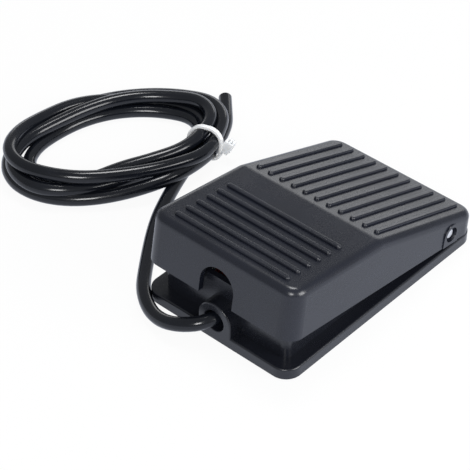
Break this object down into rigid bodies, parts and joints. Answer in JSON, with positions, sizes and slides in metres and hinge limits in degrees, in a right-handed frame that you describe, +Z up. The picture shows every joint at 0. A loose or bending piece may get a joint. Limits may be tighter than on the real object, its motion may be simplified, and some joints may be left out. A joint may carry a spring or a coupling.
{
  "type": "foot switch",
  "caption": "Small sprung foot switch: ribbed pedal hinged on a steel pin over a tray with a snap switch inside, and a tied coil of cord.",
  "frame": {"origin": "middle of the footprint, on the floor under the feet", "axes": "+Z up, -Y towards the front where the cord leaves, +Y towards the hinge pin, +X to the right seen from the front; drawn with the pedal up"},
  "size_m": [0.1584, 0.1138, 0.0366],
  "materials": {
    "pedal_plastic": "fine matt moulded",
    "tray_plastic": "satin moulded",
    "foot_rubber": "matt",
    "pin_steel": "turned end",
    "spring_steel": "drawn wire",
    "switch_plastic": "satin moulded",
    "lid_plastic": "satin moulded",
    "plunger_plastic": "smooth",
    "contact_brass": "stamped",
    "screw_steel": "zinc plated",
    "cord_jacket": "smooth soft vinyl",
    "core_brown": "smooth vinyl",
    "core_blue": "smooth vinyl",
    "core_white": "smooth vinyl",
    "sleeve_vinyl": "soft vinyl",
    "tie_nylon": "slightly clear nylon"
  },
  "bodies": {
    "base": {"base_tray": "tray_plastic", "rubber_feet": "foot_rubber", "hinge_pin": "pin_steel", "return_spring": "spring_steel", "switch_case": "switch_plastic", "switch_lid": "lid_plastic", "lever_pin": "pin_steel", "terminal_common": "contact_brass", "terminal_open": "contact_brass", "terminal_closed": "contact_brass", "tab_sleeves": "sleeve_vinyl", "switch_screws": "screw_steel", "cord_clamp": "tray_plastic", "clamp_screws": "screw_steel", "core_common": "core_brown", "core_open": "core_blue", "core_closed": "core_white", "cord_lead": "cord_jacket", "cord_coil": "cord_jacket", "cord_tail": "cord_jacket", "tie_strap": "tie_nylon", "tie_head": "tie_nylon"},
    "pedal": {"pedal_cover": "pedal_plastic"},
    "lever": {"switch_lever": "spring_steel"},
    "plunger": {"switch_plunger": "plunger_plastic"},
    "blade": {"contact_blade": "contact_brass"}
  },
  "joints": [
    {"name": "pedal_hinge", "type": "hinge", "parent": "base", "child": "pedal", "pos_m": [0, 0.0352, 0.01045], "axis": [1, 0, 0], "range_deg": [0, 7.45], "stiffness_Nm_per_rad": 1.5, "springref_deg": -11.46, "deforming": ["return_spring"]},
    {"name": "lever_hinge", "type": "hinge", "parent": "base", "child": "lever", "pos_m": [-0.015, -0.0215, 0.01985], "axis": [1, 0, 0], "range_deg": [-11.72, 0]},
    {"name": "plunger_slide", "type": "slide", "parent": "base", "child": "plunger", "axis": [0, 0, -1], "range_m": [0, 0.00125]},
    {"name": "blade_hinge", "type": "hinge", "parent": "base", "child": "blade", "pos_m": [-0.015, -0.002, 0.0108], "axis": [1, 0, 0], "range_deg": [0, 5.3]}
  ],
  "couplings": [
    {"joint": "lever_hinge", "follows": "pedal_hinge", "ratio": -1.5705},
    {"joint": "plunger_slide", "follows": "pedal_hinge", "m_per_rad": 0.009556},
    {"joint": "blade_hinge", "follows": "pedal_hinge", "ratio": 0.7089}
  ]
}
